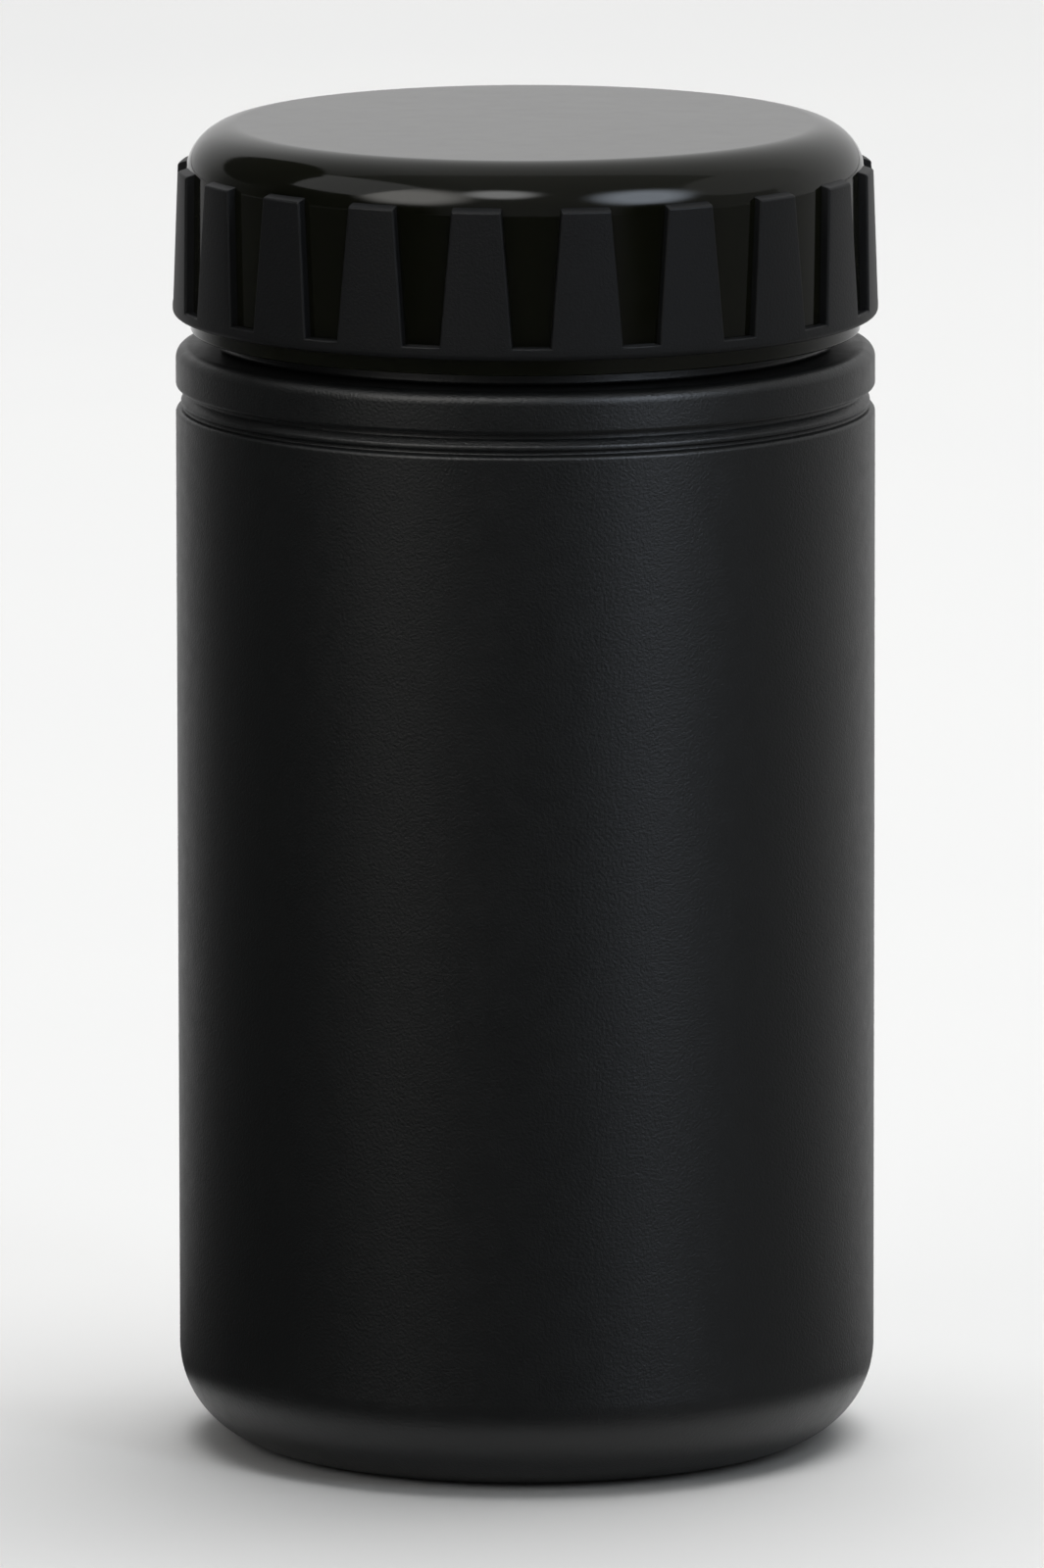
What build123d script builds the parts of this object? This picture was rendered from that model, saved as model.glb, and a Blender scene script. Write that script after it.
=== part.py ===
"""Small screw-lid storage canister: body, lid, lid grip and lid gasket.

Millimetres, +Z up, origin at the centre of the base. The lid is modelled screwed shut.
"""
from build123d import *
import os

# ---- body ----
BODY_R = 37.0
BODY_TOP = 110.7          # shoulder where the retaining groove starts
BODY_WALL = 2.0
BASE_CORNER_R = 10.1
BASE_WALL = 2.2
FOOT_INNER_R = 24.4       # inner edge of the flat foot ring
BASE_RECESS = 1.2         # height of the pushed-up base centre
BASE_RECESS_R = 21.5
RIM_FILLET = 0.5

# ---- retaining groove and bead ring ----
LOWER_GROOVE_R = 36.15
LOWER_GROOVE_TOP = 111.15
RIDGE_R = 36.45
RIDGE_TOP = 111.6
RIDGE_FILLET = 0.15
UPPER_GROOVE_R = 35.8     # deepest line of the groove, at the foot of the ridge's slope
UPPER_GROOVE_Z = 112.4
BEAD_BOTTOM = 112.9
BEAD_TOP = 117.4
BEAD_TOP_FILLET = 1.4
BEAD_BOTTOM_FILLET = 0.5

# ---- neck ----
NECK_R = 32.2
NECK_BORE_R = 30.0
MOUTH_Z = 136.7
MOUTH_FILLET = 0.5
THROAT_R = 33.7           # inside radius behind the groove
THROAT_START = 107.5
THROAT_END = 110.2
THROAT_TOP = 115.0
THROAT_FILLET = 1.5

# ---- lid ----
SKIRT_R = 35.4
LID_TOP = 140.9
LID_SKIRT_Z = 118.9
LID_WALL_FOOT_R = 36.3    # tapering wall above the grip's band
LID_WALL_TOP_R = 35.75    # where the taper would meet the top face
LID_SHOULDER_R = 5.3
LID_BORE_R = 34.0
LID_CEILING = 138.9
LID_INNER_CORNER_R = 2.2
LID_EDGE = 0.3
SEAT_RIB_IN_R = 28.2      # ring under the ceiling that centres the gasket
SEAT_RIB_OUT_R = 29.4
SEAT_RIB_Z = 136.0

# ---- grip moulded round the lid ----
BAND_Z = 120.7
BAND_TOP = 122.1
BAND_R = 37.3
BAND_FILLET = 0.6
RIB_COUNT = 20
RIB_FIRST_ANGLE = -80.0   # direction of one rib's middle, from +X
RIB_BROW_Z = 136.25       # where a rib's face turns in to meet the lid's shoulder
RIB_BROW_R = 36.85
RIB_TOP = 136.65
RIB_TOP_R = 35.6
RIB_FOOT_HALF = 3.85
RIB_TOP_HALF = 2.6
RIB_FILLET = 0.4

# ---- gasket ----
GASKET_IN_R = 29.7
GASKET_OUT_R = 32.4
GASKET_Z = 137.0
GASKET_TOP = 138.6
GASKET_FILLET = 0.25

# ---- screw thread ----
LEAD = 6.0
THREAD_ROOT_WIDTH = 2.5
THREAD_CREST_WIDTH = 1.2
THREAD_EMBED = 0.4        # how far a ridge's foot sinks into its wall
NECK_THREAD_R = 33.6
NECK_THREAD_Z = 121.6
NECK_THREAD_TURNS = 2.0
LID_THREAD_R = 32.7
LID_THREAD_START = -60.0  # degrees round from the start of the neck's thread
LID_THREAD_TURNS = 1.5
RAMP_ANGLE = 18.0         # slope of a thread's run-in and run-out
RAMP_REACH = 12.0
RAMP_HEIGHT = 6.0

CUT_MARGIN = 1.0          # how far a cutting shape runs past what it cuts


def turned(points):
    """Solid of revolution about Z from a closed outline of (radius, height) points."""
    outline = Polyline([(r, 0, z) for r, z in points], close=True)
    return revolve(make_face(outline), Axis.Z)


def rings_at(solid, *places):
    """The circular edges of a turned solid at the given (radius, height) places."""
    found = ShapeList()
    for edge in solid.edges().filter_by(GeomType.CIRCLE):
        for radius, height in places:
            same_radius = abs(edge.radius - radius) < 0.01
            same_height = abs(edge.arc_center.Z - height) < 0.01
            if same_radius and same_height:
                found.append(edge)
    return found


def end_ramp(wall_r, angle, height, inward, starting):
    """Block whose sloping face trims the end of a thread ridge into a ramp."""
    side = -1 if inward else 1
    slope = -side * RAMP_ANGLE if starting else side * RAMP_ANGLE
    block = Box(RAMP_REACH, 2 * RAMP_REACH, RAMP_HEIGHT)
    block = Pos(side * RAMP_REACH / 2, 0, 0) * block
    return Rot(0, 0, angle) * Pos(wall_r, 0, height) * Rot(0, 0, slope) * block


def thread_ridge(wall_r, crest_r, start_z, start_angle, turns):
    """Right-hand helical ridge on a wall, with its two ends ramped."""
    inward = crest_r < wall_r
    root_r = wall_r + THREAD_EMBED if inward else wall_r - THREAD_EMBED
    section = make_face(Polyline(
        [
            (root_r, 0, -THREAD_ROOT_WIDTH / 2),
            (crest_r, 0, -THREAD_CREST_WIDTH / 2),
            (crest_r, 0, THREAD_CREST_WIDTH / 2),
            (root_r, 0, THREAD_ROOT_WIDTH / 2),
        ],
        close=True,
    ))
    path = Helix(pitch=LEAD, height=LEAD * turns, radius=root_r)
    ridge = Pos(0, 0, start_z) * Rot(0, 0, start_angle) * sweep(section, path=path, is_frenet=True)
    end_angle = start_angle + 360 * turns
    end_z = start_z + LEAD * turns
    ridge -= end_ramp(wall_r, start_angle, start_z, inward, True)
    ridge -= end_ramp(wall_r, end_angle, end_z, inward, False)
    return ridge


def body_outline():
    """Outer wall from the base centre up to the mouth, then back down inside."""
    floor_z = BASE_RECESS + BASE_WALL
    inner_r = BODY_R - BODY_WALL
    return [
        (0, BASE_RECESS),
        (BASE_RECESS_R, BASE_RECESS),
        (FOOT_INNER_R, 0),
        (BODY_R, 0),
        (BODY_R, BODY_TOP),
        (LOWER_GROOVE_R, BODY_TOP),
        (LOWER_GROOVE_R, LOWER_GROOVE_TOP),
        (RIDGE_R, LOWER_GROOVE_TOP),
        (RIDGE_R, RIDGE_TOP),
        (UPPER_GROOVE_R, UPPER_GROOVE_Z),
        (UPPER_GROOVE_R, BEAD_BOTTOM),
        (BODY_R, BEAD_BOTTOM),
        (BODY_R, BEAD_TOP),
        (NECK_R, BEAD_TOP),
        (NECK_R, MOUTH_Z),
        (NECK_BORE_R, MOUTH_Z),
        (NECK_BORE_R, THROAT_TOP),
        (THROAT_R, THROAT_TOP),
        (THROAT_R, THROAT_END),
        (inner_r, THROAT_START),
        (inner_r, floor_z),
        (0, floor_z),
    ]


def canister_body():
    """Shell with rounded base, retaining groove, bead ring and threaded neck."""
    inner_r = BODY_R - BODY_WALL
    floor_z = BASE_RECESS + BASE_WALL
    shell = turned(body_outline())
    shell = fillet(rings_at(shell, (BODY_R, 0)), BASE_CORNER_R)
    shell = fillet(rings_at(shell, (inner_r, floor_z)), BASE_CORNER_R - BODY_WALL)
    shell = fillet(rings_at(shell, (BODY_R, BODY_TOP)), RIM_FILLET)
    shell = fillet(rings_at(shell, (BODY_R, BEAD_TOP)), BEAD_TOP_FILLET)
    shell = fillet(rings_at(shell, (BODY_R, BEAD_BOTTOM)), BEAD_BOTTOM_FILLET)
    shell = fillet(rings_at(shell, (RIDGE_R, LOWER_GROOVE_TOP), (RIDGE_R, RIDGE_TOP)), RIDGE_FILLET)
    shell = fillet(rings_at(shell, (NECK_R, MOUTH_Z), (NECK_BORE_R, MOUTH_Z)), MOUTH_FILLET)
    shell = fillet(rings_at(shell, (THROAT_R, THROAT_TOP), (NECK_BORE_R, THROAT_TOP)), THROAT_FILLET)
    return shell + thread_ridge(NECK_R, NECK_THREAD_R, NECK_THREAD_Z, 0, NECK_THREAD_TURNS)


def lid_outer():
    """The lid's outside shape, filled in: skirt, tapering wall, round shoulder and flat top."""
    cap = turned([
        (0, LID_SKIRT_Z),
        (SKIRT_R, LID_SKIRT_Z),
        (SKIRT_R, BAND_TOP),
        (LID_WALL_FOOT_R, BAND_TOP),
        (LID_WALL_TOP_R, LID_TOP),
        (0, LID_TOP),
    ])
    return fillet(rings_at(cap, (LID_WALL_TOP_R, LID_TOP)), LID_SHOULDER_R)


def lid():
    """Cap with a rounded shoulder, a gasket seat and a thread inside its wall."""
    hollow = turned([
        (0, LID_SKIRT_Z - CUT_MARGIN),
        (LID_BORE_R, LID_SKIRT_Z - CUT_MARGIN),
        (LID_BORE_R, LID_CEILING),
        (SEAT_RIB_OUT_R, LID_CEILING),
        (SEAT_RIB_OUT_R, SEAT_RIB_Z),
        (SEAT_RIB_IN_R, SEAT_RIB_Z),
        (SEAT_RIB_IN_R, LID_CEILING),
        (0, LID_CEILING),
    ])
    cap = lid_outer() - hollow
    cap = fillet(rings_at(cap, (LID_BORE_R, LID_CEILING)), LID_INNER_CORNER_R)
    cap = fillet(rings_at(cap, (SKIRT_R, LID_SKIRT_Z), (LID_BORE_R, LID_SKIRT_Z)), LID_EDGE)
    cap = fillet(rings_at(cap, (SEAT_RIB_OUT_R, SEAT_RIB_Z), (SEAT_RIB_IN_R, SEAT_RIB_Z)), LID_EDGE)
    start_z = NECK_THREAD_Z + LEAD / 2 + LEAD * LID_THREAD_START / 360
    return cap + thread_ridge(LID_BORE_R, LID_THREAD_R, start_z, LID_THREAD_START, LID_THREAD_TURNS)


def grip_rib():
    """One raised rib on the +X side, wider at its foot, its edges eased and its top sloped in."""
    ring = turned([
        (SKIRT_R, BAND_TOP),
        (BAND_R, BAND_TOP),
        (RIB_BROW_R, RIB_BROW_Z),
        (RIB_TOP_R, RIB_TOP),
        (SKIRT_R, RIB_TOP),
    ])
    face = make_face(Polyline(
        [
            (0, -RIB_FOOT_HALF, BAND_TOP),
            (0, RIB_FOOT_HALF, BAND_TOP),
            (0, RIB_TOP_HALF, RIB_TOP),
            (0, -RIB_TOP_HALF, RIB_TOP),
        ],
        close=True,
    ))
    rib = ring & extrude(face, BAND_R + CUT_MARGIN, dir=(1, 0, 0))
    front = rib.faces().sort_by(Axis.X)[-1]
    foot = front.edges().sort_by(Axis.Z)[0]
    eased = [edge for edge in front.edges() if edge != foot]
    return fillet(eased, RIB_FILLET) - lid_outer()


def lid_grip():
    """Lip band with the ribs standing on it, all one ring round the lid."""
    band = turned([
        (SKIRT_R, BAND_Z),
        (BAND_R, BAND_Z),
        (BAND_R, BAND_TOP),
        (SKIRT_R, BAND_TOP),
    ])
    band = fillet(rings_at(band, (BAND_R, BAND_Z)), BAND_FILLET)
    rib = grip_rib()
    ribs = [Rot(0, 0, RIB_FIRST_ANGLE + 360 * i / RIB_COUNT) * rib for i in range(RIB_COUNT)]
    return band + ribs


def lid_gasket():
    """Flat ring with softened edges that sits between the lid and the mouth."""
    ring = turned([
        (GASKET_IN_R, GASKET_Z),
        (GASKET_OUT_R, GASKET_Z),
        (GASKET_OUT_R, GASKET_TOP),
        (GASKET_IN_R, GASKET_TOP),
    ])
    return fillet(ring.edges().filter_by(GeomType.CIRCLE), GASKET_FILLET)


def main():
    os.makedirs("parts", exist_ok=True)
    for make in (canister_body, lid, lid_grip, lid_gasket):
        export_step(make(), f"parts/{make.__name__}.step")


main()
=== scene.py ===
"""Small screw-lid storage canister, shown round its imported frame. Metres, +Z up, front at -Y."""
import math

import bpy
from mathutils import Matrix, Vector


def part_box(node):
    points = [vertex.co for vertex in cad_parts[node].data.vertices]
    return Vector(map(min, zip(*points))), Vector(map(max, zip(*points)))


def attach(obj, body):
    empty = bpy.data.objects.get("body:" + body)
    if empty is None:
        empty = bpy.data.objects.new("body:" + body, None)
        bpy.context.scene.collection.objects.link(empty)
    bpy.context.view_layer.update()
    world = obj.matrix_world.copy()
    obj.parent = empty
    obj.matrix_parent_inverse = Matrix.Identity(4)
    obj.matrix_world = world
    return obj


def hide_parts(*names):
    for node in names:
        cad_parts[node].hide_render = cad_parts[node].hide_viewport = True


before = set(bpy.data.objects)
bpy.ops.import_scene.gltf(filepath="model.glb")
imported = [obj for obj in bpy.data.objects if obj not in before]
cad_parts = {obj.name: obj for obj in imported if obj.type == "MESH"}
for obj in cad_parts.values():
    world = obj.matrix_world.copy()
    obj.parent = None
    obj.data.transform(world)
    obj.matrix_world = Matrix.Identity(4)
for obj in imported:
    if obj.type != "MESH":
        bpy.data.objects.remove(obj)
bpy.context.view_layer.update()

MM = 0.001

# ---- sizes taken from the frame ----
BODY_LOW, BODY_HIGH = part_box("canister_body")
LID_LOW, LID_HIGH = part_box("lid")
GRIP_LOW, GRIP_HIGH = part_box("lid_grip")
GASKET_LOW, GASKET_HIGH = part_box("lid_gasket")
BODY_R = BODY_HIGH.x
MOUTH_Z = BODY_HIGH.z
WALL_FOOT_R = LID_HIGH.x
BAND_R = GRIP_HIGH.x
GASKET_R = GASKET_HIGH.x

# ---- the body's own sizes ----
WALL = 2.0 * MM
BASE_CORNER = 10.1 * MM
FOOT_INNER_R = 24.4 * MM
RECESS_R = 21.5 * MM
RECESS = 1.2 * MM
FLOOR_Z = 3.4 * MM
BODY_TOP = 110.7 * MM
LOWER_GROOVE_R = 36.15 * MM
LOWER_GROOVE_TOP = 111.15 * MM
RIDGE_R = 36.45 * MM
RIDGE_TOP = 111.6 * MM
UPPER_GROOVE_R = 35.8 * MM
UPPER_GROOVE_Z = 112.4 * MM
BEAD_BOTTOM = 112.9 * MM
BEAD_TOP = 117.4 * MM
NECK_R = 32.2 * MM
NECK_BORE_R = 30.0 * MM
THROAT_R = 33.7 * MM
THROAT_START = 107.5 * MM
THROAT_END = 110.2 * MM
THROAT_TOP = 115.0 * MM

# ---- the lid's own sizes ----
LID_BORE_R = 34.0 * MM
SHOULDER = 5.3 * MM
SKIRT_R = 35.4 * MM
WALL_TOP_R = 35.75 * MM
CEILING_Z = 138.9 * MM
INNER_CORNER = 2.2 * MM
SEAT_IN_R = 28.2 * MM
SEAT_OUT_R = 29.4 * MM
SEAT_Z = 136.0 * MM

# ---- the grip's own sizes ----
BAND_TOP = 122.1 * MM
RIB_COUNT = 20
RIB_FIRST = math.radians(-80.0)
BROW_Z = 136.25 * MM
BROW_R = 36.85 * MM
RIB_TOP_Z = 136.65 * MM
RIB_TOP_R = 35.6 * MM
RIB_FOOT_HALF = 3.85 * MM
RIB_TOP_HALF = 2.6 * MM
RIB_EDGE = 0.38 * MM
BAND_EDGE = 0.6 * MM
GRIP_SINK = 0.6 * MM
RIB_COLUMNS = 8
CHANNEL_COLUMNS = 4

# ---- the gasket's own sizes ----
GASKET_IN_R = 29.7 * MM
GASKET_EDGE = 0.25 * MM

# ---- the screw thread ----
LEAD = 6.0 * MM
ROOT_WIDTH = 2.5 * MM
CREST_WIDTH = 1.2 * MM
CREST_ROUNDING = 0.25 * MM
EMBED = 0.4 * MM
NECK_THREAD_R = 33.6 * MM
NECK_THREAD_Z = 121.6 * MM
NECK_THREAD_START = 0.0
NECK_THREAD_TURNS = 2.0
LID_THREAD_R = 32.7 * MM
LID_THREAD_START = -60.0
LID_THREAD_TURNS = 1.5
RUN_OUT = math.radians(14.0)
RUN_OUT_LEFT = 0.02

# ---- mesh settings ----
TURN = 2 * math.pi
ROUND_STEPS = 240
THREAD_STEPS = 72
WELD = 0.002 * MM
SAME_ANGLE = 0.0005
FACING_UP = 0.9
NEAR_RADIUS = 0.1 * MM
SMOOTH_UNDER = math.radians(35.0)
RIB_CORNER_OVER = math.radians(40.0)
NORMAL_WEIGHT = 80

# ---- the studio's floor and camera ----
FLOOR_SIZE = 24.0
FLOOR_GREY = 0.8
CAMERA_PLACE = (0, -1.98062, 0.40127)
CAMERA_TILT = tuple(math.radians(angle) for angle in (90.0 - 9.494, 0.08, -0.001))
CAMERA_LENS = 434.0
CAMERA_CLIP = (0.05, 60.0)

# ---- studio tones: (position, grey) along each ramp ----
FRONT_TO_BACK = ((0.0, 0.16), (0.552, 0.22), (0.562, 0.42), (1.0, 0.68))
LEFT_TO_RIGHT = ((0.0, 0.05), (0.1, 0.2), (0.22, 0.6), (0.4, 1.0), (1.0, 0.85))
FLOOR_TONES = (
    (0.0, 0.03), (0.27, 0.02), (0.34, 0.1), (0.5, 0.12), (0.56, 0.24), (0.63, 0.42),
    (0.68, 0.6), (0.76, 0.85), (0.81, 0.65), (0.86, 0.3), (0.9, 0.08), (1.0, 0.02),
)
SOFT_RIM = ((0.0, 0.0), (0.15, 0.12), (0.4, 0.7), (0.6, 1.0))
FIRM_RIM = ((0.0, 0.0), (0.06, 1.0))
WHITE = (1.0, 1.0, 1.0)
WARM = (1.0, 0.98, 0.94)
COOL = (0.8, 0.88, 1.0)
WARM_LIGHT = (1.0, 0.98, 0.95)
COOL_LIGHT = (0.88, 0.95, 1.0)

# ---- the cards that show in reflections ----
CARD_CORNERS = 64
CARD_LIFT = 0.3 * MM
CARD_INNER_R = 0.046
CARD_OUTER_R = 6.0
CARD_DISTANCE = 1.2


# ---------------------------------------------------------------- modelling helpers

def leave_edit_mode():
    """Back to object mode with nothing selected."""
    if bpy.context.object and bpy.context.object.mode != "OBJECT":
        bpy.ops.object.mode_set(mode="OBJECT")
    bpy.ops.object.select_all(action="DESELECT")


def make_active(piece):
    """Select this piece alone, in object mode."""
    leave_edit_mode()
    piece.select_set(True)
    bpy.context.view_layer.objects.active = piece


def select_parts(piece, kind, wanted):
    """In edit mode, select the vertices, edges or faces for which wanted(part) is true."""
    bpy.ops.mesh.select_mode(type=kind)
    bpy.ops.mesh.select_all(action="DESELECT")
    bpy.ops.object.mode_set(mode="OBJECT")
    mesh = piece.data
    parts = {"VERT": mesh.vertices, "EDGE": mesh.edges, "FACE": mesh.polygons}[kind]
    for part in parts:
        part.select = wanted(part)
    bpy.ops.object.mode_set(mode="EDIT")


def trace_outline(name, points, closed):
    """Wire outline in the XZ plane, extruded corner by corner from a single vertex."""
    leave_edit_mode()
    bpy.ops.mesh.primitive_plane_add(size=MM, location=(0, 0, 0))
    piece = bpy.context.object
    piece.name = name
    piece.data.name = name
    bpy.ops.object.mode_set(mode="EDIT")
    bpy.ops.mesh.select_mode(type="VERT")
    bpy.ops.mesh.select_all(action="SELECT")
    bpy.ops.mesh.merge(type="CENTER")
    here = Vector((0, 0, 0))
    for index, (radius, height) in enumerate(points):
        step = Vector((radius, 0, height)) - here
        if index == 0:
            bpy.ops.transform.translate(value=step)
        else:
            bpy.ops.mesh.extrude_vertices_move(TRANSFORM_OT_translate={"value": step})
        here += step
    if closed:
        ends = [Vector((radius, 0, height)) for radius, height in (points[0], points[-1])]
        select_parts(
            piece, "VERT",
            lambda vertex: min((vertex.co - end).length for end in ends) < WELD,
        )
        bpy.ops.mesh.edge_face_add()
    return piece


def round_corners(piece, corners):
    """Round outline corners: each entry is (radius, height, rounding, segments)."""
    for radius, height, rounding, segments in corners:
        place = Vector((radius, 0, height))
        select_parts(piece, "VERT", lambda vertex: (vertex.co - place).length < WELD)
        bpy.ops.mesh.bevel(affect="VERTICES", offset=rounding, segments=segments, profile=0.5)


def spin_whole():
    """Turn the whole outline once round Z and close the seam and the poles."""
    bpy.ops.mesh.select_all(action="SELECT")
    bpy.ops.mesh.spin(steps=ROUND_STEPS, angle=TURN, center=(0, 0, 0), axis=(0, 0, 1))
    bpy.ops.mesh.select_all(action="SELECT")
    bpy.ops.mesh.remove_doubles(threshold=WELD)
    bpy.ops.mesh.normals_make_consistent(inside=False)


def turned_piece(name, points, corners):
    """Closed solid of revolution with the named outline corners rounded."""
    closed = points[0][0] > 0
    piece = trace_outline(name, points, closed)
    round_corners(piece, corners)
    spin_whole()
    leave_edit_mode()
    return piece


def apply_modifier(piece, kind, **settings):
    """Add a modifier of this kind with these settings and apply it at once."""
    make_active(piece)
    modifier = piece.modifiers.new(kind.title(), kind)
    for key, value in settings.items():
        setattr(modifier, key, value)
    bpy.ops.object.modifier_apply(modifier=modifier.name)


def finish_shading(piece):
    """Smooth faces with crisp corners, large faces kept true."""
    make_active(piece)
    bpy.ops.object.shade_smooth_by_angle(angle=SMOOTH_UNDER)
    apply_modifier(piece, "WEIGHTED_NORMAL", keep_sharp=True, weight=NORMAL_WEIGHT)


def thread_ridge(name, wall_r, crest_r, start_z, start_degrees, turns):
    """Right-hand ridge for a screw thread, its foot sunk in the wall and its ends run out."""
    inward = crest_r < wall_r
    root_r = wall_r + EMBED if inward else wall_r - EMBED
    outline = [
        (root_r, start_z - ROOT_WIDTH / 2),
        (crest_r, start_z - CREST_WIDTH / 2),
        (crest_r, start_z + CREST_WIDTH / 2),
        (root_r, start_z + ROOT_WIDTH / 2),
    ]
    ridge = trace_outline(name, outline, True)
    crest_edges = (start_z - CREST_WIDTH / 2, start_z + CREST_WIDTH / 2)
    round_corners(ridge, [(crest_r, height, CREST_ROUNDING, 3) for height in crest_edges])
    leave_edit_mode()
    steps = round(THREAD_STEPS * turns)
    apply_modifier(
        ridge, "SCREW", axis="Z", angle=TURN * turns, screw_offset=LEAD * turns,
        steps=steps, render_steps=steps, use_merge_vertices=False,
    )
    run_out_ends(ridge, root_r, start_z, turns)
    make_active(ridge)
    ridge.rotation_euler.z = math.radians(start_degrees)
    bpy.ops.object.transform_apply(location=True, rotation=True, scale=True)
    return ridge


def run_out_ends(ridge, root_r, start_z, turns):
    """Slope both ends of a ridge down into its wall and cap them."""
    end_angle = TURN * turns
    bpy.context.view_layer.objects.active = ridge
    for vertex in ridge.data.vertices:
        x, y, z = vertex.co
        flat_angle = math.atan2(y, x) % TURN
        turn_number = round(((z - start_z) / LEAD * TURN - flat_angle) / TURN)
        along = flat_angle + turn_number * TURN
        left = min(along, end_angle - along) / RUN_OUT
        if left < 1:
            radius = math.hypot(x, y)
            wanted = root_r + (radius - root_r) * max(left, RUN_OUT_LEFT)
            vertex.co.x *= wanted / radius
            vertex.co.y *= wanted / radius
    make_active(ridge)
    bpy.ops.object.mode_set(mode="EDIT")
    bpy.ops.mesh.select_mode(type="EDGE")
    bpy.ops.mesh.select_all(action="DESELECT")
    bpy.ops.mesh.select_non_manifold()
    bpy.ops.mesh.fill_holes(sides=0)
    bpy.ops.mesh.select_all(action="SELECT")
    bpy.ops.mesh.normals_make_consistent(inside=False)
    leave_edit_mode()


def unite(piece, other):
    """Fuse another closed piece into this one."""
    apply_modifier(piece, "BOOLEAN", object=other, operation="UNION", solver="EXACT")
    bpy.data.objects.remove(other)


# ---------------------------------------------------------------- pieces

def canister_body():
    """Hollow moulding: foot, straight wall, retaining groove, bead ring and threaded neck."""
    inner_r = BODY_R - WALL
    outline = [
        (0, RECESS), (RECESS_R, RECESS), (FOOT_INNER_R, 0), (BODY_R, 0), (BODY_R, BODY_TOP),
        (LOWER_GROOVE_R, BODY_TOP), (LOWER_GROOVE_R, LOWER_GROOVE_TOP), (RIDGE_R, LOWER_GROOVE_TOP),
        (RIDGE_R, RIDGE_TOP), (UPPER_GROOVE_R, UPPER_GROOVE_Z), (UPPER_GROOVE_R, BEAD_BOTTOM),
        (BODY_R, BEAD_BOTTOM), (BODY_R, BEAD_TOP), (NECK_R, BEAD_TOP), (NECK_R, MOUTH_Z),
        (NECK_BORE_R, MOUTH_Z), (NECK_BORE_R, THROAT_TOP), (THROAT_R, THROAT_TOP),
        (THROAT_R, THROAT_END), (inner_r, THROAT_START), (inner_r, FLOOR_Z), (0, FLOOR_Z),
    ]
    corners = [
        (RECESS_R, RECESS, 0.8 * MM, 4),
        (FOOT_INNER_R, 0, 0.5 * MM, 4),
        (BODY_R, 0, BASE_CORNER, 28),
        (BODY_R, BODY_TOP, 0.5 * MM, 6),
        (LOWER_GROOVE_R, BODY_TOP, 0.15 * MM, 3),
        (LOWER_GROOVE_R, LOWER_GROOVE_TOP, 0.1 * MM, 3),
        (RIDGE_R, LOWER_GROOVE_TOP, 0.15 * MM, 4),
        (RIDGE_R, RIDGE_TOP, 0.15 * MM, 4),
        (UPPER_GROOVE_R, UPPER_GROOVE_Z, 0.12 * MM, 3),
        (UPPER_GROOVE_R, BEAD_BOTTOM, 0.12 * MM, 3),
        (BODY_R, BEAD_BOTTOM, 0.5 * MM, 6),
        (BODY_R, BEAD_TOP, 1.4 * MM, 10),
        (NECK_R, BEAD_TOP, 0.5 * MM, 4),
        (NECK_R, MOUTH_Z, 0.5 * MM, 5),
        (NECK_BORE_R, MOUTH_Z, 0.5 * MM, 5),
        (NECK_BORE_R, THROAT_TOP, 1.5 * MM, 6),
        (THROAT_R, THROAT_TOP, 1.5 * MM, 6),
        (THROAT_R, THROAT_END, 1.0 * MM, 4),
        (inner_r, THROAT_START, 1.0 * MM, 4),
        (inner_r, FLOOR_Z, BASE_CORNER - WALL, 16),
    ]
    body = turned_piece("canister_shell", outline, corners)
    ridge = thread_ridge(
        "neck_thread", NECK_R, NECK_THREAD_R, NECK_THREAD_Z, NECK_THREAD_START, NECK_THREAD_TURNS,
    )
    unite(body, ridge)
    finish_shading(body)
    return body


def lid_cap():
    """Gloss cap: flat top, round shoulder, straight wall, gasket seat and inside thread."""
    outline = [
        (0, LID_HIGH.z), (WALL_TOP_R, LID_HIGH.z), (WALL_FOOT_R, BAND_TOP), (SKIRT_R, BAND_TOP),
        (SKIRT_R, LID_LOW.z), (LID_BORE_R, LID_LOW.z),
        (LID_BORE_R, CEILING_Z), (SEAT_OUT_R, CEILING_Z), (SEAT_OUT_R, SEAT_Z),
        (SEAT_IN_R, SEAT_Z), (SEAT_IN_R, CEILING_Z), (0, CEILING_Z),
    ]
    corners = [
        (WALL_TOP_R, LID_HIGH.z, SHOULDER, 24),
        (SKIRT_R, LID_LOW.z, 0.3 * MM, 4),
        (LID_BORE_R, LID_LOW.z, 0.3 * MM, 4),
        (LID_BORE_R, CEILING_Z, INNER_CORNER, 8),
        (SEAT_OUT_R, SEAT_Z, 0.3 * MM, 3),
        (SEAT_IN_R, SEAT_Z, 0.3 * MM, 3),
    ]
    cap = turned_piece("lid_cap", outline, corners)
    start_z = NECK_THREAD_Z + LEAD / 2 + LEAD * LID_THREAD_START / 360
    ridge = thread_ridge(
        "lid_thread", LID_BORE_R, LID_THREAD_R, start_z, LID_THREAD_START, LID_THREAD_TURNS,
    )
    unite(cap, ridge)
    finish_shading(cap)
    return cap


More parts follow.
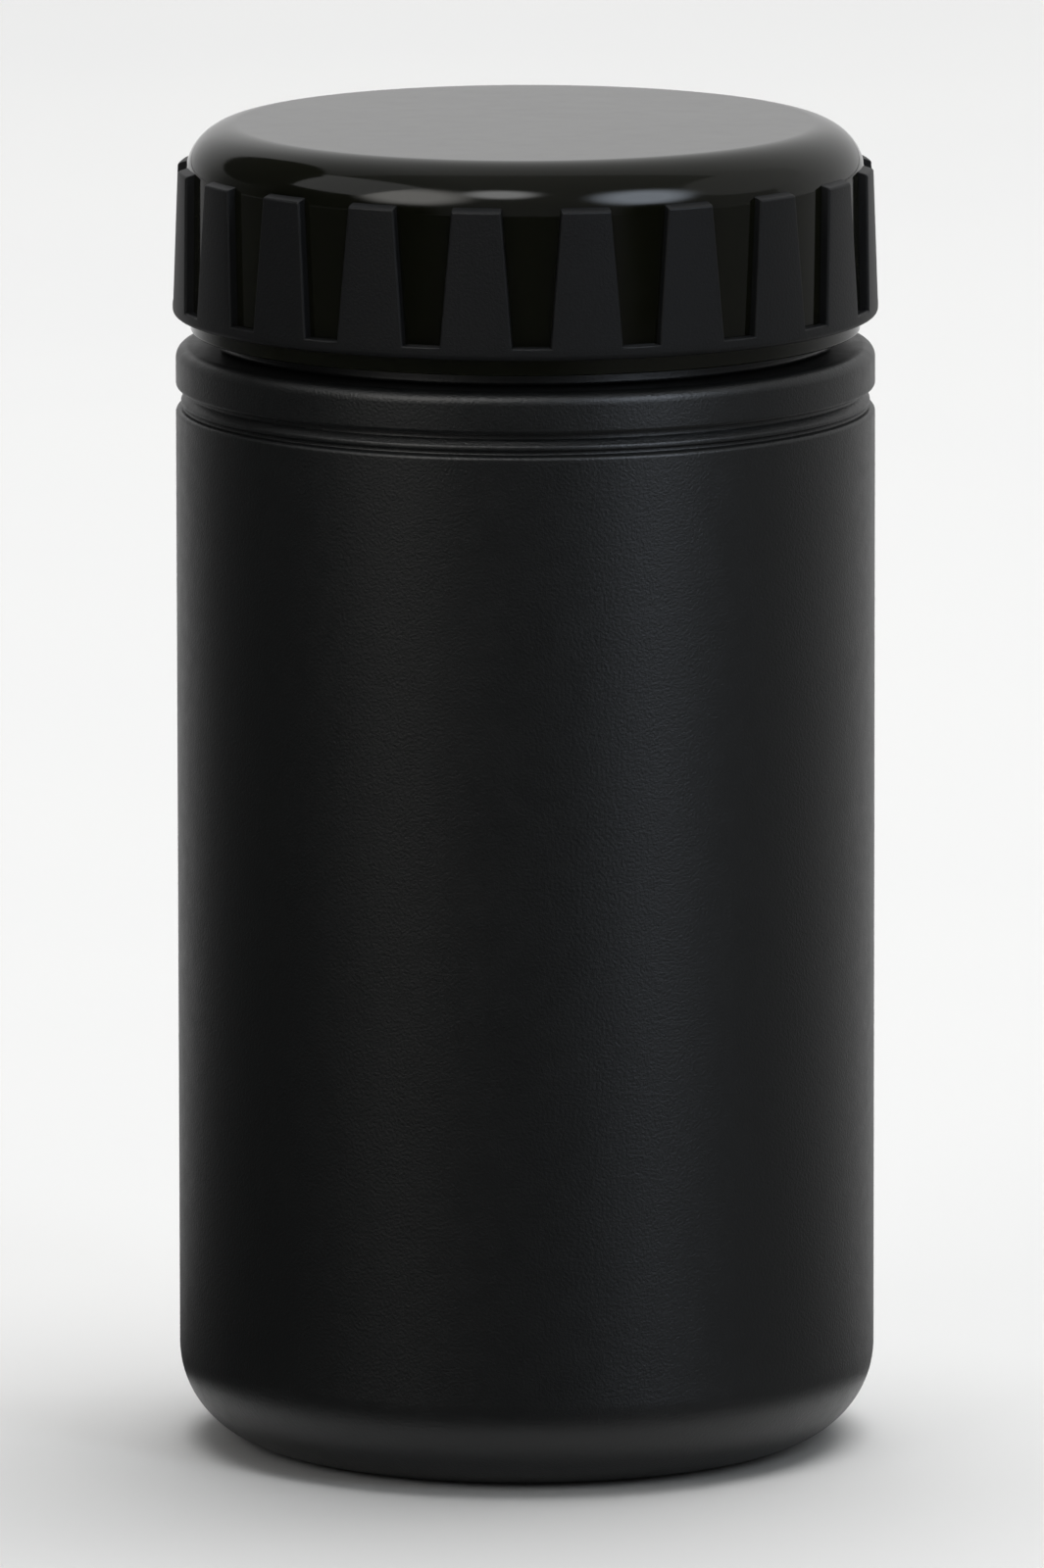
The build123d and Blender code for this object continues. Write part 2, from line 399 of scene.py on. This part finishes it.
def grip_ring():
    """Lip band with tapering ribs drawn up from its top face."""
    sunk_r = SKIRT_R - GRIP_SINK
    outline = [
        (sunk_r, GRIP_LOW.z), (BAND_R, GRIP_LOW.z), (BAND_R, BAND_TOP), (sunk_r, BAND_TOP),
    ]
    ring = trace_outline("grip_ring", outline, True)
    bpy.ops.mesh.select_all(action="SELECT")
    pitch = TURN / RIB_COUNT
    brow_share = (BROW_Z - BAND_TOP) / (RIB_TOP_Z - BAND_TOP)
    brow_half = RIB_FOOT_HALF + (RIB_TOP_HALF - RIB_FOOT_HALF) * brow_share
    foot_angle = 2 * math.asin(RIB_FOOT_HALF / BAND_R)
    brow_angle = 2 * math.asin(brow_half / BROW_R)
    top_angle = 2 * math.asin(RIB_TOP_HALF / RIB_TOP_R)
    for _ in range(RIB_COUNT):
        bpy.ops.mesh.spin(steps=RIB_COLUMNS, angle=-foot_angle, axis=(0, 0, 1))
        bpy.ops.mesh.spin(steps=CHANNEL_COLUMNS, angle=foot_angle - pitch, axis=(0, 0, 1))
    bpy.ops.mesh.select_all(action="SELECT")
    bpy.ops.mesh.remove_doubles(threshold=WELD)
    bpy.ops.mesh.normals_make_consistent(inside=False)
    select_parts(
        ring, "FACE",
        lambda face: face.normal.z > FACING_UP and angle_in_pitch(face.center, pitch) < foot_angle,
    )
    middle = foot_angle / 2
    foot = (BAND_TOP, BAND_R, foot_angle)
    brow = (BROW_Z, BROW_R, brow_angle)
    top = (RIB_TOP_Z, RIB_TOP_R, top_angle)
    draw_up_ribs(ring, pitch, middle, foot, brow)
    draw_up_ribs(ring, pitch, middle, brow, top)
    ease_grip_edges(ring)
    leave_edit_mode()
    ring.rotation_euler.z = RIB_FIRST - middle
    make_active(ring)
    bpy.ops.object.transform_apply(location=True, rotation=True, scale=True)
    finish_shading(ring)
    return ring


def angle_in_pitch(place, pitch):
    """How far round from the start of its rib a point lies."""
    return math.atan2(place.y, place.x) % pitch


def angle_off(place, start, pitch):
    """How far round a point lies from this angle in the nearest pitch, either way."""
    return abs((angle_in_pitch(place, pitch) - start + pitch / 2) % pitch - pitch / 2)


def draw_up_ribs(ring, pitch, middle, low, high):
    """Extrude the selected rib tops from one (height, outer radius, width angle) to the next."""
    low_z, low_r, low_angle = low
    high_z, high_r, high_angle = high

    def is_high(vertex):
        return vertex.co.z > high_z - WELD

    bpy.ops.mesh.extrude_region_move(TRANSFORM_OT_translate={"value": (0, 0, high_z - low_z)})
    for column in range(RIB_COLUMNS + 1):
        share = column / RIB_COLUMNS - 0.5
        start = middle + share * low_angle
        select_parts(
            ring, "VERT",
            lambda vertex: is_high(vertex) and angle_off(vertex.co, start, pitch) < SAME_ANGLE,
        )
        turn = share * (high_angle - low_angle)
        bpy.ops.transform.rotate(value=-turn, orient_axis="Z", center_override=(0, 0, 0))
    select_parts(
        ring, "VERT",
        lambda vertex: is_high(vertex) and math.hypot(vertex.co.x, vertex.co.y) > low_r - WELD,
    )
    lean = high_r / low_r
    bpy.ops.transform.resize(value=(lean, lean, 1), center_override=(0, 0, 0))
    select_parts(
        ring, "FACE",
        lambda face: face.normal.z > FACING_UP and face.center.z > high_z - WELD,
    )


def ease_grip_edges(ring):
    """Round the outer edges of the ribs, and the foot of the lip band more fully."""
    mesh = ring.data
    top_r = RIB_TOP_R - NEAR_RADIUS
    foot_r = BAND_R - NEAR_RADIUS
    bpy.ops.object.mode_set(mode="OBJECT")
    normals_at = {}
    for face in mesh.polygons:
        for key in face.edge_keys:
            normals_at.setdefault(key, []).append(face.normal.copy())

    def on_outside(edge, least_r, low_z, high_z):
        ends = [mesh.vertices[index].co for index in edge.vertices]
        return all(math.hypot(end.x, end.y) > least_r and low_z < end.z < high_z for end in ends)

    def is_rib_corner(edge):
        normals = normals_at[edge.key]
        sharp = normals[0].angle(normals[1]) > RIB_CORNER_OVER
        return sharp and on_outside(edge, top_r, BAND_TOP - WELD, RIB_TOP_Z + WELD)

    bpy.ops.object.mode_set(mode="EDIT")
    select_parts(ring, "EDGE", is_rib_corner)
    bpy.ops.mesh.bevel(
        offset=RIB_EDGE, segments=4, profile=0.5, affect="EDGES", clamp_overlap=True,
    )
    select_parts(
        ring, "EDGE",
        lambda edge: on_outside(edge, foot_r, GRIP_LOW.z - WELD, GRIP_LOW.z + WELD),
    )
    bpy.ops.mesh.bevel(
        offset=BAND_EDGE, segments=6, profile=0.5, affect="EDGES", clamp_overlap=True,
    )


def gasket_ring():
    """Flat rubber ring with softened edges."""
    outline = [
        (GASKET_IN_R, GASKET_LOW.z), (GASKET_R, GASKET_LOW.z),
        (GASKET_R, GASKET_HIGH.z), (GASKET_IN_R, GASKET_HIGH.z),
    ]
    corners = [(radius, height, GASKET_EDGE, 4) for radius, height in outline]
    ring = turned_piece("gasket_ring", outline, corners)
    finish_shading(ring)
    return ring


# ---------------------------------------------------------------- materials

def new_material(name, colour, roughness, ior):
    """An even shader, whose values hold until a texture is linked over them.

    Returns the material, its node tree, and the shader and texture-coordinate nodes.
    """
    material = bpy.data.materials.new(name)
    material.use_nodes = True
    tree = material.node_tree
    shader = tree.nodes["Principled BSDF"]
    shader.inputs["Base Color"].default_value = (*colour, 1.0)
    shader.inputs["Roughness"].default_value = roughness
    shader.inputs["IOR"].default_value = ior
    place = tree.nodes.new("ShaderNodeTexCoord")
    return material, tree, shader, place


def noise(tree, place, scale, detail, rough=0.5):
    """Noise on Object coordinates; scale is the number of cells to a metre."""
    node = tree.nodes.new("ShaderNodeTexNoise")
    node.inputs["Scale"].default_value = scale
    node.inputs["Detail"].default_value = detail
    node.inputs["Roughness"].default_value = rough
    tree.links.new(place.outputs["Object"], node.inputs["Vector"])
    return node.outputs["Fac"]


def spread(tree, value, low, high, to_low, to_high):
    """Map a grey value from one range to another, clamped."""
    node = tree.nodes.new("ShaderNodeMapRange")
    node.inputs["From Min"].default_value = low
    node.inputs["From Max"].default_value = high
    node.inputs["To Min"].default_value = to_low
    node.inputs["To Max"].default_value = to_high
    tree.links.new(value, node.inputs["Value"])
    return node.outputs["Result"]


def bump(tree, height, distance, strength=1.0):
    """Bump by a grey height; distance in metres."""
    node = tree.nodes.new("ShaderNodeBump")
    node.inputs["Distance"].default_value = distance
    node.inputs["Strength"].default_value = strength
    tree.links.new(height, node.inputs["Height"])
    return node.outputs["Normal"]


def blend_colours(tree, factor, first, second):
    """Go from the first colour to the second as the factor goes from 0 to 1."""
    node = tree.nodes.new("ShaderNodeMix")
    node.data_type = "RGBA"
    node.inputs["A"].default_value = (*first, 1.0)
    node.inputs["B"].default_value = (*second, 1.0)
    tree.links.new(factor, node.inputs["Factor"])
    return node.outputs["Result"]


def satin_polyethylene():
    """Black body plastic: satin, with a fine grain from the mould."""
    material, tree, shader, place = new_material(
        "satin_polyethylene", colour=(0.0045, 0.005, 0.0052), roughness=0.36, ior=1.5,
    )
    shader.inputs["Specular IOR Level"].default_value = 0.66
    grain = noise(tree, place, scale=3400.0, detail=2.0, rough=0.6)
    scuffs = noise(tree, place, scale=500.0, detail=4.0, rough=0.6)
    worn = spread(tree, scuffs, low=0.3, high=0.7, to_low=0.33, to_high=0.39)
    tree.links.new(worn, shader.inputs["Roughness"])
    tint = blend_colours(tree, grain, (0.0034, 0.0042, 0.0044), (0.0058, 0.0066, 0.0068))
    tree.links.new(tint, shader.inputs["Base Color"])
    tree.links.new(bump(tree, grain, distance=0.045 * MM), shader.inputs["Normal"])
    return material


def polished_cap():
    """Black lid plastic: high gloss, very slightly wavy, with a faint uneven haze."""
    material, tree, shader, place = new_material(
        "polished_cap", colour=(0.0045, 0.0048, 0.0025), roughness=0.07, ior=1.5,
    )
    wave = noise(tree, place, scale=90.0, detail=2.0)
    haze = noise(tree, place, scale=400.0, detail=5.0, rough=0.65)
    clouded = spread(tree, haze, low=0.35, high=0.75, to_low=0.05, to_high=0.14)
    tree.links.new(clouded, shader.inputs["Roughness"])
    waviness = bump(tree, wave, distance=0.05 * MM, strength=0.5)
    tree.links.new(waviness, shader.inputs["Normal"])
    return material


def matte_grip():
    """Charcoal grip plastic: matte, with a fine even texture."""
    material, tree, shader, place = new_material(
        "matte_grip", colour=(0.0055, 0.006, 0.0066), roughness=0.48, ior=1.45,
    )
    grain = noise(tree, place, scale=3600.0, detail=2.0, rough=0.6)
    tint = blend_colours(tree, grain, (0.0042, 0.0046, 0.0052), (0.0068, 0.0074, 0.0082))
    tree.links.new(tint, shader.inputs["Base Color"])
    tree.links.new(bump(tree, grain, distance=0.035 * MM), shader.inputs["Normal"])
    return material


def soft_rubber():
    """Dark grey gasket rubber."""
    material, tree, shader, place = new_material(
        "soft_rubber", colour=(0.03, 0.03, 0.031), roughness=0.7, ior=1.5,
    )
    grain = noise(tree, place, scale=1800.0, detail=3.0)
    texture = bump(tree, grain, distance=0.02 * MM, strength=0.6)
    tree.links.new(texture, shader.inputs["Normal"])
    return material


def plain_matte(name, grey):
    """Matte paper of one grey, very faintly mottled."""
    material, tree, shader, place = new_material(
        name, colour=(grey, grey, grey), roughness=0.9, ior=1.3,
    )
    mottle = noise(tree, place, scale=8.0, detail=2.0)
    dimmer = grey * 0.97
    tint = blend_colours(tree, mottle, (grey, grey, grey * 0.99), (dimmer, dimmer, dimmer))
    tree.links.new(tint, shader.inputs["Base Color"])
    return material


def ramp(tree, value, stops):
    """Straight grey ramp; each stop is (position, grey)."""
    node = tree.nodes.new("ShaderNodeValToRGB")
    elements = node.color_ramp.elements
    while len(elements) < len(stops):
        elements.new(0.5)
    for element, (position, grey) in zip(elements, stops):
        element.position = position
        element.color = (grey, grey, grey, 1.0)
    tree.links.new(value, node.inputs["Fac"])
    return node.outputs["Color"]


def glow(name, kind, stops, colour=WHITE):
    """Start of a glowing material, with a grey ramp over a gradient on its card.

    Returns the material, its node tree, the ramp, and the emission and output nodes.
    """
    material = bpy.data.materials.new(name)
    material.use_nodes = True
    tree = material.node_tree
    tree.nodes.clear()
    place = tree.nodes.new("ShaderNodeTexCoord")
    gradient = tree.nodes.new("ShaderNodeTexGradient")
    gradient.gradient_type = kind
    tree.links.new(place.outputs["Object"], gradient.inputs["Vector"])
    shade = ramp(tree, gradient.outputs["Fac"], stops)
    emission = tree.nodes.new("ShaderNodeEmission")
    emission.inputs["Color"].default_value = (*colour, 1.0)
    output = tree.nodes.new("ShaderNodeOutputMaterial")
    return material, tree, shade, emission, output


def graded_glow(name):
    """Glow whose brightness changes with the angle round the card's middle."""
    material, tree, shade, emission, output = glow(name, "RADIAL", FLOOR_TONES)
    tree.links.new(shade, emission.inputs["Strength"])
    tree.links.new(emission.outputs["Emission"], output.inputs["Surface"])
    return material


def faded_glow(name, colour, brightness, stops):
    """Even glow that fades away to nothing at the rim."""
    material, tree, shade, emission, output = glow(name, "SPHERICAL", stops, colour)
    emission.inputs["Strength"].default_value = brightness
    clear = tree.nodes.new("ShaderNodeBsdfTransparent")
    mix = tree.nodes.new("ShaderNodeMixShader")
    tree.links.new(shade, mix.inputs["Fac"])
    tree.links.new(clear.outputs["BSDF"], mix.inputs[1])
    tree.links.new(emission.outputs["Emission"], mix.inputs[2])
    tree.links.new(mix.outputs["Shader"], output.inputs["Surface"])
    return material


# ---------------------------------------------------------------- studio

def studio_floor():
    """Wide pale paper that the canister stands on."""
    leave_edit_mode()
    bpy.ops.mesh.primitive_plane_add(size=FLOOR_SIZE, location=(0, 0, 0))
    floor = bpy.context.object
    floor.name = "studio_floor"
    floor.data.materials.append(plain_matte("floor_paper", FLOOR_GREY))


def seen_by_reflections_alone(card):
    """Make a stage card that lights nothing and hides nothing, and shows in gloss only."""
    card.visible_camera = False
    card.visible_diffuse = False
    card.visible_shadow = False
    card.visible_transmission = False


def graded_floor_card():
    """Ring just over the floor, graded round its middle: dark in front and at the left."""
    leave_edit_mode()
    bpy.ops.mesh.primitive_circle_add(
        vertices=CARD_CORNERS, radius=CARD_INNER_R, location=(0, 0, 0),
    )
    card = bpy.context.object
    card.name = "graded_floor_card"
    bpy.ops.object.mode_set(mode="EDIT")
    bpy.ops.mesh.select_all(action="SELECT")
    bpy.ops.mesh.extrude_region_move()
    reach = CARD_OUTER_R / CARD_INNER_R
    bpy.ops.transform.resize(value=(reach, reach, 1), center_override=(0, 0, 0))
    leave_edit_mode()
    card.location.z = CARD_LIFT
    card.data.materials.append(graded_glow("graded_floor_card"))
    seen_by_reflections_alone(card)


def glow_card(
    name, azimuth, elevation, width, height, brightness, colour=WHITE, rim=SOFT_RIM, only=None,
):
    """Glowing oval card facing the canister, placed and sized in degrees as seen from it.

    With a piece given as only, the card shows in that piece alone.
    """
    place, away = stand_off(azimuth, elevation, CARD_DISTANCE)
    leave_edit_mode()
    bpy.ops.mesh.primitive_circle_add(
        vertices=CARD_CORNERS, radius=1.0, fill_type="NGON", location=place,
    )
    card = bpy.context.object
    card.name = name
    card.rotation_euler = away.to_track_quat("Z", "Y").to_euler()
    half_width = math.tan(math.radians(width / 2)) * CARD_DISTANCE
    half_height = math.tan(math.radians(height / 2)) * CARD_DISTANCE
    card.scale = (half_width, half_height, 1)
    card.data.materials.append(faded_glow(name, colour, brightness, rim))
    if only is not None:
        lit = bpy.data.collections.new(name + "_lights")
        lit.objects.link(only)
        card.light_linking.receiver_collection = lit
    seen_by_reflections_alone(card)


def studio_world():
    """Soft surroundings: palest behind the canister, dim in front of it and at its left."""
    world = bpy.data.worlds.new("studio_surroundings")
    bpy.context.scene.world = world
    world.use_nodes = True
    tree = world.node_tree
    background = tree.nodes["Background"]
    direction = tree.nodes.new("ShaderNodeTexCoord")
    split = tree.nodes.new("ShaderNodeSeparateXYZ")
    tree.links.new(direction.outputs["Generated"], split.inputs["Vector"])
    both = tree.nodes.new("ShaderNodeMath")
    both.operation = "MULTIPLY"
    for index, (axis, tones) in enumerate((("Y", FRONT_TO_BACK), ("X", LEFT_TO_RIGHT))):
        share = spread(tree, split.outputs[axis], low=-1.0, high=1.0, to_low=0.0, to_high=1.0)
        tree.links.new(ramp(tree, share, tones), both.inputs[index])
    tree.links.new(both.outputs["Value"], background.inputs["Strength"])
    background.inputs["Color"].default_value = (*WHITE, 1.0)


def studio_camera():
    """Long lens about two metres away, looking down at nine and a half degrees."""
    leave_edit_mode()
    bpy.ops.object.camera_add(location=CAMERA_PLACE)
    camera = bpy.context.object
    camera.rotation_euler = CAMERA_TILT
    camera.data.lens = CAMERA_LENS
    camera.data.clip_start, camera.data.clip_end = CAMERA_CLIP
    bpy.context.scene.camera = camera


def stand_off(azimuth, elevation, distance):
    """A place that far from the canister's middle, and its direction; azimuth 0 is in front."""
    round_by = math.radians(azimuth)
    up_by = math.radians(elevation)
    level = math.cos(up_by)
    away = Vector((math.sin(round_by) * level, -math.cos(round_by) * level, math.sin(up_by)))
    return Vector((0, 0, MOUTH_Z / 2)) + away * distance, away


def soft_box(name, azimuth, elevation, distance, size, power, colour):
    """Rectangular soft light facing the canister; only the cards show in reflections."""
    place, away = stand_off(azimuth, elevation, distance)
    bpy.ops.object.light_add(type="AREA", location=place)
    lamp = bpy.context.object
    lamp.name = name
    lamp.rotation_euler = away.to_track_quat("Z", "Y").to_euler()
    lamp.data.shape = "RECTANGLE"
    lamp.data.size, lamp.data.size_y = size
    lamp.data.energy = power
    lamp.data.color = colour
    lamp.visible_glossy = False


body = canister_body()
cap = lid_cap()
grip = grip_ring()
gasket = gasket_ring()
for piece, rides_on, node, slot, material in (
    (body, "canister", "canister_body", "body_plastic", satin_polyethylene()),
    (cap, "lid", "lid", "lid_plastic", polished_cap()),
    (grip, "lid", "lid_grip", "grip_plastic", matte_grip()),
    (gasket, "seal", "lid_gasket", "gasket_rubber", soft_rubber()),
):
    piece.data.materials.clear()
    piece.data.materials.append(material)
    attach(piece, rides_on)
    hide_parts(node)

bpy.context.scene.view_settings.view_transform = "Standard"
studio_floor()
studio_world()
studio_camera()
graded_floor_card()
# Each card: azimuth, elevation, width and height in degrees, then brightness.
glow_card("left_glow", -42, 36, 44, 42, 2.6, WARM)
glow_card("right_glow", 44, 34, 40, 38, 4.0, COOL)
glow_card("left_low_glow", -43, 6, 38, 40, 0.75, WARM, only=body)
glow_card("right_low_glow", 42, 6, 28, 40, 2.0, COOL, only=body)
glow_card("small_front_glow", -10, 48, 26, 24, 3.6)
glow_card("left_upper_glow", -72, 44, 62, 30, 0.65, rim=FIRM_RIM)
glow_card("right_upper_glow", 92, 36, 50, 34, 0.4, rim=FIRM_RIM)
glow_card("left_dark_card", -118, 35, 44, 38, 0.03, rim=FIRM_RIM)
# Each light: azimuth and elevation in degrees, distance and size in metres, power in watts.
soft_box("left_box", -42, 27, 1.2, (0.5, 0.5), 1.4, WARM_LIGHT)
soft_box("right_box", 43, 33, 1.2, (0.2, 0.6), 1.2, COOL_LIGHT)
soft_box("overhead_fill", 150, 75, 2.4, (2.4, 2.4), 66, WHITE)
